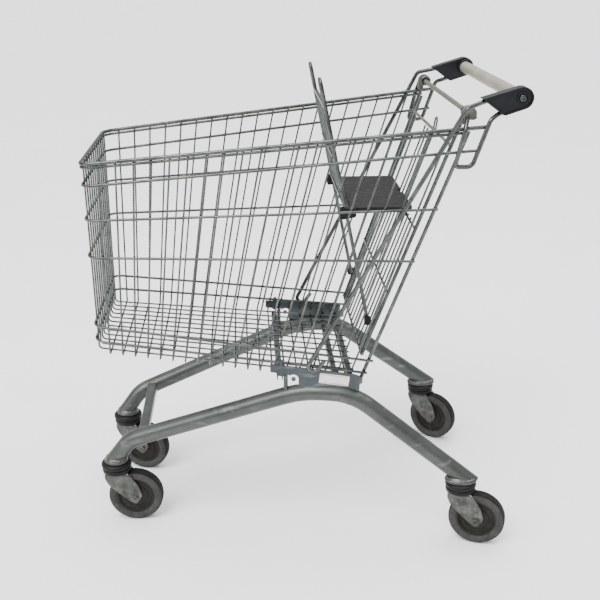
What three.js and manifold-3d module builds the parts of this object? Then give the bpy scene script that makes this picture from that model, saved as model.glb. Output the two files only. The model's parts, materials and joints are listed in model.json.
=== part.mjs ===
// A supermarket shopping trolley: a wire basket on a two-tube chassis with four swivel castors,
// a rear flap that swings into the basket, and a folding child seat carried by the flap.
// Millimetres. +X points to the rear, where the handle is, +Y to the pusher's right and +Z up.
// Pieces that come in mirrored pairs are built once for side +1 (right) or -1 (left).

import * as THREE from 'three';
import { mergeVertices } from 'three/addons/utils/BufferGeometryUtils.js';
import loadManifold from 'manifold-3d';

const wasm = await loadManifold();
wasm.setup();
const { Manifold, Mesh: SolidMesh } = wasm;

// ---------------------------------------------------------------- driving dimensions

const GAP = 0.3;                 // left between pieces that touch
const WELD = 0.6;                // how far crossing wires sink into each other where they are welded
const CENTRE = { x: 10.4, y: -9 };   // middle of the parked trolley's box, moved to the origin

// Castors
const WHEEL = { radius: 62.5, width: 32, hubRadius: 43, bore: 4.6 };
const TRAIL = 41;                // swivel axis to axle, seen from above
const FORK = { thick: 3.2, inner: 17.6, top: 126.7, crown: 3.7, eye: 12 };
const DUST_RING = { bottom: 127, top: 137, radius: 27, bore: 13 };
const SOCKET = { top: 150, radius: 22 };
const AXLE = { radius: 4, head: 7.2, headThick: 5 };
const CASTORS = [
  { name: 'front_left', x: -412.7, y: -116.3, yaw: -3.5 },
  { name: 'front_right', x: -412.7, y: 116.3, yaw: -16 },
  { name: 'rear_left', x: 361, y: -241.9, yaw: -20 },
  { name: 'rear_right', x: 361, y: 241.9, yaw: -36 },
];

// Chassis tubes: each lies in an upright plane and spreads towards the rear
const TUBE = { radius: 19, wall: 2, spread: 0.1623 };
const TUBE_LINE = [[-411, 140], [-376, 207], [8, 352], [118, 352], [395, 136.5]];   // x, z
const TUBE_BENDS = [70, 220, 140];
const FRONT_BAR = { x: -346, z: 222, size: 22 };

// Saddle that carries the basket
const SADDLE = { thick: 4, frontX: -59, rearX: 144, topFront: 412, topRear: 397, half: 192.6, spread: 0.094 };
const SADDLE_BARS = [{ name: 'front', x: -38 }, { name: 'middle', x: 84 }, { name: 'rear', x: 118 }];

// Basket: a side is the surface between a lower line and an upper line, divided into equal bays
const BAYS = 20;
const FRONT_X = -430;
const LOWER = { x0: -400, pitch: 27.15, halfWidth: 160, spread: 0.07, z: 475, slope: -0.1176 };
const UPPER = { x0: -394.5, pitch: 36.0, halfWidth: 173, spread: 0.0969, z: 853.5, slope: 0.1049 };
const FLOOR = { z: 446, slope: -0.105 };
const WIRE = 4;
const RING_START = -408;
const CORNER_RADIUS = 18;
const RINGS = [                   // height at the front, slope, rear end, diameter
  { z: 853.5, slope: 0.1049, rear: 355, size: 8, welded: true },
  { z: 845.5, slope: 0.1049, rear: 325, size: 6 },
  { z: 809, slope: 0.1045, rear: 345, size: 6 },
  { z: 738, slope: 0.0454, rear: 275, size: 5.5 },
  { z: 658.8, slope: 0, rear: 236, size: 5.5 },
  { z: 508, slope: -0.1164, rear: 159, size: 5.5, recessed: true },
  { z: 475, slope: -0.1176, rear: 147, size: 5.5, recessed: true, welded: true },
];
const RECESS = 12;               // the front wall steps in below the fifth ring
const FRONT_WIRES = 12;
const FRONT_PITCH = 25;

// Rear edge of each basket side, and the flap's plane 17 mm inside it
const EDGE = { x: 143, z: 401, lean: 0.346, size: 8, top: 921 };
const FLAP = { x: 137.3, z: 424, lean: 0.346 };
const FLAP_PIVOT = { x: 325, z: 958, radius: 5, reach: 236 };
const HOOK = { inner: 222, outer: 236, radius: 15, foot: 940 };

// Handle
const GRIP = { x: 424.4, z: 989.1, radius: 13, half: 225.7 };
const CAP = { inner: 226, outer: 252, radius: 21 };
const LOOP_WIRE = 10;
const WIRE_IN_CAP = 240;

// Child seat
const SEAT_PIVOT = { x: 153, z: 504, half: 150 };
const BACKREST = { lean: -0.2118, top: 1010, topHalf: 141, size: 8 };
const BACK_BARS = [955, 850, 757];
const SEAT_HINGE = { x: 116, z: 744, radius: 3 };
const SEAT = { half: 137.5, length: 127, thick: 12, notchHalf: 52, notch: 23 };
const FLAP_WIRE_PITCH = 29.1;

// ---------------------------------------------------------------- colours

const ZINC = { color: 0xb4b7b8, roughness: 0.32, metalness: 0.9 };
const SILVER_PAINT = { color: 0x92979a, roughness: 0.45, metalness: 0.4 };
const SADDLE_GREY = { color: 0x84898c, roughness: 0.5, metalness: 0.4 };
const DARK_PLASTIC = { color: 0x262a32, roughness: 0.42, metalness: 0.0 };
const BLACK_PLASTIC = { color: 0x1a1a1b, roughness: 0.5, metalness: 0.0 };
const SEAT_GREY = { color: 0x464644, roughness: 0.55, metalness: 0.0 };
const HOOK_GREY = { color: 0xa09c91, roughness: 0.6, metalness: 0.0 };
const GRIP_CREAM = { color: 0xc8c3b9, roughness: 0.45, metalness: 0.0 };
const TYRE_GREY = { color: 0x696966, roughness: 0.8, metalness: 0.0 };
const HUB_GREY = { color: 0x4a4a49, roughness: 0.55, metalness: 0.0 };
const LABEL_WHITE = { color: 0xe8e6e2, roughness: 0.5, metalness: 0.0 };

// ---------------------------------------------------------------- solids and meshes

const trolley = new THREE.Group();

// A closed geometry as a solid that can be joined and cut.
function solid(geometry) {
  const bare = geometry.clone();
  bare.deleteAttribute('normal');
  bare.deleteAttribute('uv');
  const merged = mergeVertices(bare, 1e-3);
  return new Manifold(new SolidMesh({
    numProp: 3,
    vertProperties: new Float32Array(merged.attributes.position.array),
    triVerts: new Uint32Array(merged.index.array),
  }));
}

const join = (solids) => solids.reduce((whole, next) => whole.add(next));

// Adds a solid to a group as a named mesh with its own material.
function addPiece(group, name, piece, finish) {
  const { vertProperties, triVerts } = piece.getMesh();
  const geometry = new THREE.BufferGeometry();
  geometry.setAttribute('position', new THREE.BufferAttribute(vertProperties, 3));
  geometry.setIndex(new THREE.BufferAttribute(triVerts, 1));
  geometry.computeVertexNormals();
  const mesh = new THREE.Mesh(geometry, new THREE.MeshStandardMaterial(finish));
  mesh.name = name;
  group.add(mesh);
}

const vec = (x, y, z) => new THREE.Vector3(x, y, z);

// A route through given points, whose steps land on the points themselves.
class Route extends THREE.Curve {
  constructor(points) {
    super();
    this.points = points;
    this.steps = points.length - 1;
  }

  getPointAt(u, target = new THREE.Vector3()) {
    const place = u * this.steps;
    const from = Math.min(Math.floor(place + 1e-6), this.steps - 1);
    return target.lerpVectors(this.points[from], this.points[from + 1], place - from);
  }

  getTangentAt(u, target = new THREE.Vector3()) {
    const here = Math.round(u * this.steps);
    const before = this.points[Math.max(here - 1, 0)];
    const after = this.points[Math.min(here + 1, this.steps)];
    const middle = this.points[here];
    const arriving = middle.clone().sub(before).normalize();
    const leaving = after.clone().sub(middle).normalize();
    return target.addVectors(arriving, leaving).normalize();
  }
}

// A polyline with its inner corners rounded to the given radii.
function rounded(points, radii, segments = 4) {
  const route = [points[0]];
  for (let i = 1; i < points.length - 1; i += 1) {
    const corner = points[i];
    const arriving = corner.clone().sub(points[i - 1]).normalize();
    const leaving = points[i + 1].clone().sub(corner).normalize();
    const turn = arriving.angleTo(leaving);
    const radius = Array.isArray(radii) ? radii[i - 1] : radii;
    const inward = leaving.clone().sub(arriving).normalize();
    const centre = corner.clone().addScaledVector(inward, radius / Math.cos(turn / 2));
    const start = corner.clone().addScaledVector(arriving, -radius * Math.tan(turn / 2)).sub(centre);
    const axis = arriving.clone().cross(leaving).normalize();
    for (let s = 0; s <= segments; s += 1) {
      route.push(start.clone().applyAxisAngle(axis, turn * s / segments).add(centre));
    }
  }
  route.push(points[points.length - 1]);
  return route;
}

// A regular outline with the same area as a circle of that radius.
function roundOutline(radius, sides, Kind = THREE.Shape) {
  const reach = radius * Math.sqrt(2 * Math.PI / (sides * Math.sin(2 * Math.PI / sides)));
  const points = [];
  for (let i = 0; i < sides; i += 1) {
    const angle = 2 * Math.PI * (i + 0.5) / sides;
    points.push(new THREE.Vector2(reach * Math.cos(angle), reach * Math.sin(angle)));
  }
  return new Kind(points);
}

function sweep(points, shape) {
  const extrudePath = new Route(points);
  return solid(new THREE.ExtrudeGeometry(shape, { extrudePath, steps: extrudePath.steps }));
}

// A wire is square in section, with a round wire's cross-section area; thicker rods have more sides.
const wire = (points, size = WIRE, sides = 4) => sweep(points, roundOutline(size / 2, sides));

// A closed ring turned about Z from a radius and height profile.
function turned(profile, segments) {
  const closed = [...profile, profile[0]].map(([radius, z]) => new THREE.Vector2(radius, z));
  const lathe = new THREE.LatheGeometry(closed, segments);
  lathe.rotateX(Math.PI / 2);
  const piece = solid(lathe);
  return piece.volume() > 0 ? piece : solid(flipped(lathe));
}

function flipped(geometry) {
  const copy = geometry.clone();
  const index = copy.index.array;
  for (let i = 0; i < index.length; i += 3) {
    [index[i], index[i + 1]] = [index[i + 1], index[i]];
  }
  return copy;
}

// A rod along Y through (x, z).
function rodAlongY(x, z, from, to, radius, sides = 8) {
  return sweep([vec(x, from, z), vec(x, to, z)], roundOutline(radius, sides));
}

// A plate whose outline is given in x and z, from y = from to y = to.
function plateAlongY(outline, from, to) {
  const shape = outline instanceof THREE.Shape ? outline
    : new THREE.Shape(outline.map(([x, z]) => new THREE.Vector2(x, z)));
  const plate = new THREE.ExtrudeGeometry(shape, { depth: Math.abs(to - from), bevelEnabled: false });
  plate.rotateX(Math.PI / 2);
  plate.translate(0, Math.max(from, to), 0);
  return solid(plate);
}

function block(low, high) {
  const size = high.clone().sub(low);
  const box = new THREE.BoxGeometry(size.x, size.y, size.z);
  box.translate(...low.clone().add(high).multiplyScalar(0.5).toArray());
  return solid(box);
}

const SIDES = [{ label: 'left', side: -1 }, { label: 'right', side: 1 }];

// ---------------------------------------------------------------- chassis

const tubeHalfWidth = (x) => 116.3 + TUBE.spread * (x + 412.7);

function tubeRoute(side) {
  const points = TUBE_LINE.map(([x, z]) => vec(x, side * tubeHalfWidth(x), z));
  return rounded(points, TUBE_BENDS, 3);
}

// The tube's outside as a full rod, grown by the gap that its neighbours keep.
const tubeRoom = (side) => sweep(tubeRoute(side), roundOutline(TUBE.radius + GAP, 12));

function addChassis() {
  for (const { label, side } of SIDES) {
    const section = roundOutline(TUBE.radius, 12);
    section.holes.push(roundOutline(TUBE.radius - TUBE.wall, 8, THREE.Path));
    const below = block(vec(-600, -400, 0), vec(600, 400, SOCKET.top + GAP));
    const behind = block(vec(CASTORS[2].x + SOCKET.radius + 1, -400, 0), vec(600, 400, 400));
    const tube = sweep(tubeRoute(side), section).subtract(below).subtract(behind);
    addPiece(trolley, `chassis_tube_${label}`, tube, SILVER_PAINT);
  }
  const { x, z, size } = FRONT_BAR;
  const bar = block(vec(x - size / 2, -130, z - size / 2), vec(x + size / 2, 130, z + size / 2));
  const trimmed = bar.subtract(tubeRoom(-1)).subtract(tubeRoom(1));
  const middle = block(vec(x - size, -118, z - size), vec(x + size, 118, z + size));
  addPiece(trolley, 'front_cross_bar', trimmed.intersect(middle), SILVER_PAINT);
}

function addSaddle() {
  const { thick, frontX, rearX, topFront, topRear } = SADDLE;
  const outline = [
    [frontX, topFront - 12], [-8, topFront - 16], [2, 384], [2, 350], [rearX - 4, 330], [rearX, topRear],
    [40, topRear + 8], [frontX, topFront],
  ];
  for (const { label, side } of SIDES) {
    const plate = plateAlongY(outline, -thick / 2, thick / 2);
    const angle = side * Math.atan(SADDLE.spread) * 180 / Math.PI;
    const placed = plate.rotate([0, 0, angle]).translate([0, side * SADDLE.half, 0]);
    const bolt = rodAlongY(22, 388, side * 150, side * 220, 6);
    addPiece(trolley, `saddle_plate_${label}`, placed.subtract(tubeRoom(side)).subtract(bolt), SADDLE_GREY);
  }
  for (const { name, x } of SADDLE_BARS) {
    const top = floorHeight(x) - WIRE / 2 - GAP - 1.2;
    const half = SADDLE.half + SADDLE.spread * (x - 13) - SADDLE.thick / 2 - 2 * GAP;
    const channel = [
      [x - 13, top], [x - 13, top - 14], [x - 10.5, top - 14], [x - 10.5, top - 2.5],
      [x + 10.5, top - 2.5], [x + 10.5, top - 14], [x + 13, top - 14], [x + 13, top],
    ];
    addPiece(trolley, `saddle_bar_${name}`, plateAlongY(channel, -half, half), SADDLE_GREY);
  }
  const labelY = -SADDLE.half - SADDLE.spread * 72 - thick / 2 - GAP;
  const sticker = block(vec(-34, -0.6, -8), vec(34, 0, 8));
  const angle = -Math.atan(SADDLE.spread) * 180 / Math.PI;
  addPiece(trolley, 'blank_label', sticker.rotate([0, 0, angle]).translate([72, labelY, 386]), LABEL_WHITE);
}

// ---------------------------------------------------------------- basket

const lineAt = (line, x) => line.z + line.slope * (x - FRONT_X);
const floorHeight = (x) => FLOOR.z + FLOOR.slope * (x - LOWER.x0);

// The lower or upper end of the side wall at a bay, which may be a fraction.
function wallEnd(line, bay) {
  const x = line.x0 + line.pitch * bay;
  return vec(x, line.halfWidth + line.spread * (x + 428), lineAt(line, x));
}

// The side wall's half width at x and z: the wall is ruled by its upright wires.
function halfWidth(x, z) {
  let share = 0.5;
  let bay = 0;
  for (let round = 0; round < 12; round += 1) {
    const start = THREE.MathUtils.lerp(LOWER.x0, UPPER.x0, share);
    bay = (x - start) / THREE.MathUtils.lerp(LOWER.pitch, UPPER.pitch, share);
    const low = wallEnd(LOWER, bay).z;
    share = (z - low) / (wallEnd(UPPER, bay).z - low);
  }
  return THREE.MathUtils.lerp(wallEnd(LOWER, bay).y, wallEnd(UPPER, bay).y, share);
}

// How far inside the ring's centre line an upright wire runs.
const uprightInset = (RINGS[3].size + WIRE) / 2 * 0.886 + GAP;
const floorRise = WIRE * 0.886 + GAP;      // from the cross wires up to the lengthwise ones
const floorStart = FRONT_X + uprightInset + RECESS - 1;

function ringPoint(ring, x, side) {
  const z = ring.z + ring.slope * (x - FRONT_X);
  const shift = (ring.size - RINGS[3].size) / 2 * 0.886 - (ring.welded ? WELD + GAP : 0);
  return vec(x, side * (halfWidth(x, z) + shift), z);
}

function sideWall(side) {
  const parts = RINGS.map((ring) => wire([
    ringPoint(ring, RING_START, side), ringPoint(ring, ring.rear, side),
  ], ring.size));
  for (let bay = 0; bay < BAYS; bay += 1) {
    const tied = bay === 0 || bay === BAYS - 1;
    const inset = uprightInset - (tied ? WELD + GAP : 0);
    const low = wallEnd(LOWER, bay);
    const high = wallEnd(UPPER, bay);
    const foot = (floorHeight(low.x) + WIRE / 2 + 2 * GAP + WELD - low.z) / (high.z - low.z);
    const points = [low.clone().lerp(high, foot), low.clone().lerp(high, 1.002)];
    parts.push(wire(points.map((p) => vec(p.x, side * (p.y - inset), p.z))));
  }
  return join(parts);
}

// A ring's stretch across the front with its two corners; a recessed ring steps in between them.
function frontRing(ring) {
  const end = RING_START - GAP;
  const half = ringPoint(ring, FRONT_X, 1).y;
  const inwards = ring.recessed ? RECESS : 0;
  const shift = ring.welded ? WELD + GAP : 0;
  const x = FRONT_X + shift;
  const right = [ringPoint(ring, end, 1), vec(x, half, ring.z)];
  if (inwards) {
    right.push(vec(x, half - 12, ring.z), vec(x + inwards, half - 19, ring.z));
  }
  const left = right.map((p) => vec(p.x, -p.y, p.z)).reverse();
  const radii = inwards ? [8, 4, 4, 4, 4, 8] : CORNER_RADIUS;
  return wire(rounded([...right, ...left], radii, inwards ? 1 : 2), ring.size);
}

function addBasket() {
  for (const { label, side } of SIDES) {
    addPiece(trolley, `basket_side_${label}`, sideWall(side), ZINC);
  }

  const front = RINGS.map(frontRing);
  const kneeHigh = RINGS[4].z - 12;
  for (let i = 0; i < FRONT_WIRES; i += 1) {
    const across = FRONT_PITCH * (i - (FRONT_WIRES - 1) / 2);
    const tied = i === 0 || i === FRONT_WIRES - 1;
    const x = FRONT_X + uprightInset - (tied ? WELD + GAP : 0);
    const foot = floorHeight(floorStart) + floorRise + WIRE / 2 + GAP;
    const points = [
      vec(x + RECESS, across, foot), vec(x + RECESS, across, kneeHigh - 14),
      vec(x, across * 1.05, kneeHigh), vec(x, across * 1.09, RINGS[0].z + 1),
    ];
    front.push(wire(points));
  }
  addPiece(trolley, 'basket_front', join(front), ZINC);

  const floor = [];
  const last = LOWER.x0 + LOWER.pitch * (BAYS - 1);
  for (let bay = 0; bay < BAYS; bay += 1) {
    const x = LOWER.x0 + LOWER.pitch * bay;
    const half = wallEnd(LOWER, bay).y - uprightInset + WIRE / 2;
    const lift = bay % 18 === 1 ? WELD + GAP : 0;
    floor.push(wire([vec(x, -half, floorHeight(x) + lift), vec(x, half, floorHeight(x) + lift)]));
  }
  for (let i = 0; i < FRONT_WIRES; i += 1) {
    const across = FRONT_PITCH * (i - (FRONT_WIRES - 1) / 2);
    const tied = i === 0 || i === FRONT_WIRES - 1;
    const rise = floorRise - (tied ? WELD + GAP : 0);
    floor.push(wire([
      vec(floorStart, across, floorHeight(floorStart) + rise),
      vec(last + 12, across * 1.24, floorHeight(last + 12) + rise),
    ]));
  }
  addPiece(trolley, 'basket_floor', join(floor), ZINC);

  for (const { label, side } of SIDES) {
    const reach = (z) => halfWidth(EDGE.x + EDGE.lean * (z - EDGE.z), z);
    const inset = (RINGS[0].size + EDGE.size) / 2 * 0.886 + 1.2 * GAP;
    const points = [EDGE.z - 10, EDGE.top].map((z) => (
      vec(EDGE.x + EDGE.lean * (z - EDGE.z), side * (reach(z) - inset), z)));
    const foot = turned([[0, -8], [6, -8], [6, 4], [0, 4]], 8).translate(points[0].toArray());
    addPiece(trolley, `rear_edge_wire_${label}`, wire(points, EDGE.size, 6).add(foot), ZINC);
  }
}

// ---------------------------------------------------------------- handle

function upperLoop(side, size = LOOP_WIRE, extra = 0) {
  const diagonal = (z) => vec(314 - 0.5295 * (973 - z), side * (204.2 + 0.1 * (z - 430)), z);
  return wire(rounded([
    vec(375 + extra, side * WIRE_IN_CAP, 989.3 + 0.27 * extra), vec(348, side * 243, 982),
    vec(314, side * 258.5, 973), diagonal(415), vec(38, side * 202.7, 404), vec(56.3, side * 202.7, 431.5),
  ], [30, 14, 11, 11], 5), size, 6);
}

function lowerLoop(side, size = LOOP_WIRE, extra = 0) {
  return wire(rounded([
    vec(400 + extra, side * WIRE_IN_CAP, 969 + 0.44 * extra), vec(376, side * 245, 958.4),
    vec(359.6, side * 258.5, 951), vec(330, side * 258.5, 861), vec(301, side * 258.5, 861),
    vec(313, side * 258, 930), vec(319, side * 243, 958),
  ], [14, 14, 15, 10, 12], 3), size, 6);
}

function addHandle() {
  addPiece(trolley, 'handle_grip', rodAlongY(GRIP.x, GRIP.z, -GRIP.half, GRIP.half, GRIP.radius, 14), GRIP_CREAM);
  for (const { label, side } of SIDES) {
    addPiece(trolley, `handle_upper_wire_${label}`, upperLoop(side), ZINC);
    addPiece(trolley, `handle_lower_wire_${label}`, lowerLoop(side), ZINC);

    const outline = new THREE.Shape();
    const start = THREE.MathUtils.degToRad(106);
    const stop = THREE.MathUtils.degToRad(-73);
    outline.moveTo(347, 988);
    outline.lineTo(352, 989.5);
    outline.absarc(GRIP.x, GRIP.z, CAP.radius, start, stop, true);
    outline.lineTo(394, 957);
    outline.lineTo(389, 958);
    const body = plateAlongY(new THREE.Shape(outline.getPoints(9)), side * CAP.inner, side * CAP.outer);
    const screwHole = rodAlongY(GRIP.x, GRIP.z, side * (CAP.inner - 1), side * (CAP.outer + 1), 5);
    const cap = body.subtract(screwHole)
      .subtract(upperLoop(side, LOOP_WIRE + 2 * GAP, 1)).subtract(lowerLoop(side, LOOP_WIRE + 2 * GAP, 1));
    addPiece(trolley, `handle_cap_${label}`, cap, DARK_PLASTIC);
    const shank = rodAlongY(GRIP.x, GRIP.z, side * (CAP.inner + 1), side * (CAP.outer + 0.5), 4);
    const head = rodAlongY(GRIP.x, GRIP.z, side * (CAP.outer + GAP), side * (CAP.outer + 3), 7);
    addPiece(trolley, `handle_screw_${label}`, join([shank, head]), ZINC);
  }
}

// ---------------------------------------------------------------- flap and child seat

const flapAt = (z) => FLAP.x + FLAP.lean * (z - FLAP.z);
const flapHalf = (z) => 173 + 0.072 * (z - FLAP.z);

function addFlap() {
  const { x, z, radius, reach } = FLAP_PIVOT;
  addPiece(trolley, 'flap_pivot_rod', rodAlongY(x, z, -reach - 3, reach + 3, radius, 10), HOOK_GREY);
  for (const { label, side } of SIDES) {
    const outline = new THREE.Shape();
    outline.moveTo(x - HOOK.radius, HOOK.foot);
    outline.lineTo(x + HOOK.radius, HOOK.foot);
    outline.lineTo(x + HOOK.radius, z);
    outline.absarc(x, z, HOOK.radius, 0, Math.PI, false);
    const body = plateAlongY(new THREE.Shape(outline.getPoints(6)), side * HOOK.inner, side * HOOK.outer);
    const bore = rodAlongY(x, z, side * (HOOK.inner - 1), side * (HOOK.outer + 1), radius + 0.8, 12);
    addPiece(trolley, `hinge_hook_${label}`, body.subtract(bore), HOOK_GREY);
  }

  const grid = [];
  const crossHeights = [436, 580, 722];
  const barHeight = 888;
  const behind = WIRE * 0.886 - WELD;
  for (const side of [-1, 1]) {
    const ends = [430, 949].map((height) => vec(flapAt(height), side * flapHalf(height), height));
    grid.push(wire(ends, 8, 6));
  }
  for (const height of crossHeights) {
    const half = flapHalf(height);
    const at = flapAt(height) - behind;
    grid.push(wire([vec(at, -half, height), vec(at, half, height)], 5));
  }
  grid.push(wire([
    vec(flapAt(barHeight), -flapHalf(barHeight), barHeight), vec(flapAt(barHeight), flapHalf(barHeight), barHeight),
  ], 9, 6));
  for (let i = 0; i < FRONT_WIRES; i += 1) {
    const across = FLAP_WIRE_PITCH * (i - (FRONT_WIRES - 1) / 2);
    const full = Math.abs(across) < 50 || Math.abs(across) > 150;
    const top = full ? barHeight : crossHeights[2] + 2;
    grid.push(wire([vec(flapAt(433), across, 433), vec(flapAt(top), across, top)]));
  }
  const strapLoop = rounded([
    vec(298, -46, 889), vec(304, -46, 926), vec(304, -28, 926), vec(298, -28, 889),
  ], 8.5, 3);
  grid.push(wire(strapLoop, 4));
  addPiece(trolley, 'flap_grid', join(grid), ZINC);
}

const backAt = (z) => SEAT_PIVOT.x + BACKREST.lean * (z - SEAT_PIVOT.z);

function addChildSeat() {
  const back = [];
  const bars = BACK_BARS.map((height) => ({ height, half: BACKREST.topHalf + 0.0178 * (BACKREST.top - height) }));
  for (const side of [-1, 1]) {
    back.push(wire(rounded([
      vec(SEAT_PIVOT.x, side * (SEAT_PIVOT.half + 15), SEAT_PIVOT.z), vec(SEAT_PIVOT.x, side * SEAT_PIVOT.half, SEAT_PIVOT.z),
      vec(backAt(BACKREST.top), side * BACKREST.topHalf, BACKREST.top),
      vec(backAt(BACKREST.top), side * (BACKREST.topHalf - 24), BACKREST.top),
      vec(backAt(BACK_BARS[0]), side * (BACKREST.topHalf - 24), BACK_BARS[0]),
    ], [6, 11, 11], 3), BACKREST.size, 6));
  }
  for (const { height, half } of bars) {
    const at = backAt(height) - (height === BACK_BARS[0] ? 0 : 2.4);
    back.push(wire([vec(at, -half, height), vec(at, half, height)], height === BACK_BARS[0] ? 8 : 5));
  }
  for (let i = 0; i < 10; i += 1) {
    const across = 26 * (i - 4.5);
    back.push(wire([vec(backAt(753), across, 753), vec(backAt(BACK_BARS[0]), across, BACK_BARS[0])]));
  }
  addPiece(trolley, 'backrest_frame', join(back), ZINC);

  for (const { label, side } of SIDES) {
    const { x, z } = SEAT_PIVOT;
    const across = [side * 155, side * 165.5].sort((a, b) => a - b);
    const shell = block(vec(x - 8, across[0], z - 8), vec(x + 6.2, across[1], z + 10));
    const bore = rodAlongY(x, z, side * 150, side * 170, 4.7, 12);
    addPiece(trolley, `backrest_pivot_clip_${label}`, shell.subtract(bore), BLACK_PLASTIC);

    const legAt = backAt(SEAT_HINGE.z);
    const clip = plateAlongY([
      [legAt - 13, 728], [SEAT_HINGE.x + 7, 733], [SEAT_HINGE.x + 7, 752], [legAt - 14, 753],
    ], side * 138.5, side * 153.5);
    const legRoom = wire([
      vec(backAt(700), side * (BACKREST.topHalf + 0.0178 * 310), 700),
      vec(backAt(800), side * (BACKREST.topHalf + 0.0178 * 210), 800),
    ], BACKREST.size + 5 * GAP, 6);
    addPiece(trolley, `seat_hinge_clip_${label}`, clip.subtract(legRoom), BLACK_PLASTIC);
  }

  const rodHalf = 138.5 - GAP;
  addPiece(trolley, 'seat_hinge_rod', rodAlongY(SEAT_HINGE.x, SEAT_HINGE.z, -rodHalf, rodHalf, SEAT_HINGE.radius, 8), ZINC);

  const { x, z, radius } = SEAT_HINGE;
  const rear = x + SEAT.length;
  const barrel = new THREE.Shape();
  barrel.absarc(x, z, SEAT.thick / 2 + 1, Math.PI / 2, Math.PI * 1.5, false);
  const profile = barrel.getPoints(6);
  profile.push(new THREE.Vector2(rear - 4, z - SEAT.thick / 2), new THREE.Vector2(rear, z - 2));
  profile.push(new THREE.Vector2(rear, z + 4), new THREE.Vector2(rear - 3, z + SEAT.thick / 2));
  profile.push(new THREE.Vector2(x + 9, z + SEAT.thick / 2));
  const plate = plateAlongY(new THREE.Shape(profile), -SEAT.half, SEAT.half);
  const bore = rodAlongY(x, z, -SEAT.half - 1, SEAT.half + 1, radius + 0.7, 10);
  const notch = block(vec(rear - SEAT.notch, -SEAT.notchHalf, z - 20), vec(rear + 5, SEAT.notchHalf, z + 20));
  const prongs = [-1, 1].map((side) => block(
    vec(rear - 24, side * 122 - 7, z - 16), vec(rear - 9, side * 122 + 7, z - SEAT.thick / 2 + 1)));
  addPiece(trolley, 'seat_plate', join([plate, ...prongs]).subtract(bore).subtract(notch), SEAT_GREY);
}

// ---------------------------------------------------------------- castors

// The side plate of a fork: wide under the crown and narrowing to the axle.
function forkCheek() {
  const outline = new THREE.Shape();
  outline.moveTo(-23, FORK.top);
  outline.lineTo(-23, 112);
  outline.absarc(TRAIL, WHEEL.radius, FORK.eye, Math.PI * 1.22, Math.PI * 2.1, false);
  outline.lineTo(34, 116);
  outline.lineTo(24, FORK.top);
  return new THREE.Shape(outline.getPoints(4));
}

function addCastor({ name, x, y, yaw }) {
  const place = new THREE.Group();
  place.position.set(x, y, 0);
  trolley.add(place);
  addPiece(place, `castor_${name}_socket`, turned([
    [0, DUST_RING.top + GAP], [SOCKET.radius + 2, DUST_RING.top + GAP], [SOCKET.radius, SOCKET.top], [0, SOCKET.top],
  ], 16), SILVER_PAINT);
  addPiece(place, `castor_${name}_dust_ring`, turned([
    [DUST_RING.bore, DUST_RING.bottom], [DUST_RING.radius, DUST_RING.bottom],
    [DUST_RING.radius, DUST_RING.top], [DUST_RING.bore, DUST_RING.top],
  ], 16), BLACK_PLASTIC);

  const swivel = new THREE.Group();
  swivel.rotation.z = THREE.MathUtils.degToRad(yaw);
  place.add(swivel);
  const cheekOut = FORK.inner + FORK.thick;
  const cheeks = [-1, 1].map((side) => plateAlongY(forkCheek(), side * FORK.inner, side * cheekOut));
  const crown = block(vec(-23, -cheekOut, FORK.top - FORK.crown), vec(19, cheekOut, FORK.top));
  const pin = turned([
    [0, FORK.top - 1], [DUST_RING.bore - 0.8, FORK.top - 1],
    [DUST_RING.bore - 0.8, DUST_RING.top - 0.5], [0, DUST_RING.top - 0.5],
  ], 12);
  const axleRoom = rodAlongY(TRAIL, WHEEL.radius, -cheekOut - 1, cheekOut + 1, AXLE.radius + GAP, 10);
  addPiece(swivel, `castor_${name}_fork`, join([crown, ...cheeks, pin]).subtract(axleRoom), ZINC);

  const reach = cheekOut + GAP;
  const shank = rodAlongY(TRAIL, WHEEL.radius, -reach - 1, reach + 1, AXLE.radius, 8);
  const heads = [-1, 1].map((side) => rodAlongY(
    TRAIL, WHEEL.radius, side * reach, side * (reach + AXLE.headThick), AXLE.head, 6));
  addPiece(swivel, `castor_${name}_axle_bolt`, join([shank, ...heads]), ZINC);

  const wheel = new THREE.Group();
  wheel.position.set(TRAIL, 0, WHEEL.radius);
  wheel.rotation.x = Math.PI / 2;
  swivel.add(wheel);
  const half = WHEEL.width / 2;
  const tyreBore = WHEEL.hubRadius + 3 * GAP;
  addPiece(wheel, `castor_${name}_hub`, turned([
    [WHEEL.bore, -half], [13, -half], [16, -half + 4], [WHEEL.hubRadius, -half + 3],
    [WHEEL.hubRadius, half - 3], [16, half - 4], [13, half], [WHEEL.bore, half],
  ], 16), HUB_GREY);
  addPiece(wheel, `castor_${name}_tyre`, turned([
    [tyreBore, -half + 3], [WHEEL.radius - 6, -half], [WHEEL.radius, -half + 7],
    [WHEEL.radius, half - 7], [WHEEL.radius - 6, half], [tyreBore, half - 3],
  ], 24), TYRE_GREY);
}

addChassis();
addSaddle();
addBasket();
addHandle();
addFlap();
addChildSeat();
CASTORS.forEach(addCastor);
trolley.position.set(-CENTRE.x, -CENTRE.y, 0);

export default trolley;
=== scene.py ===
import json
import math

import bmesh
import bpy
from mathutils import Matrix, Vector


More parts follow.
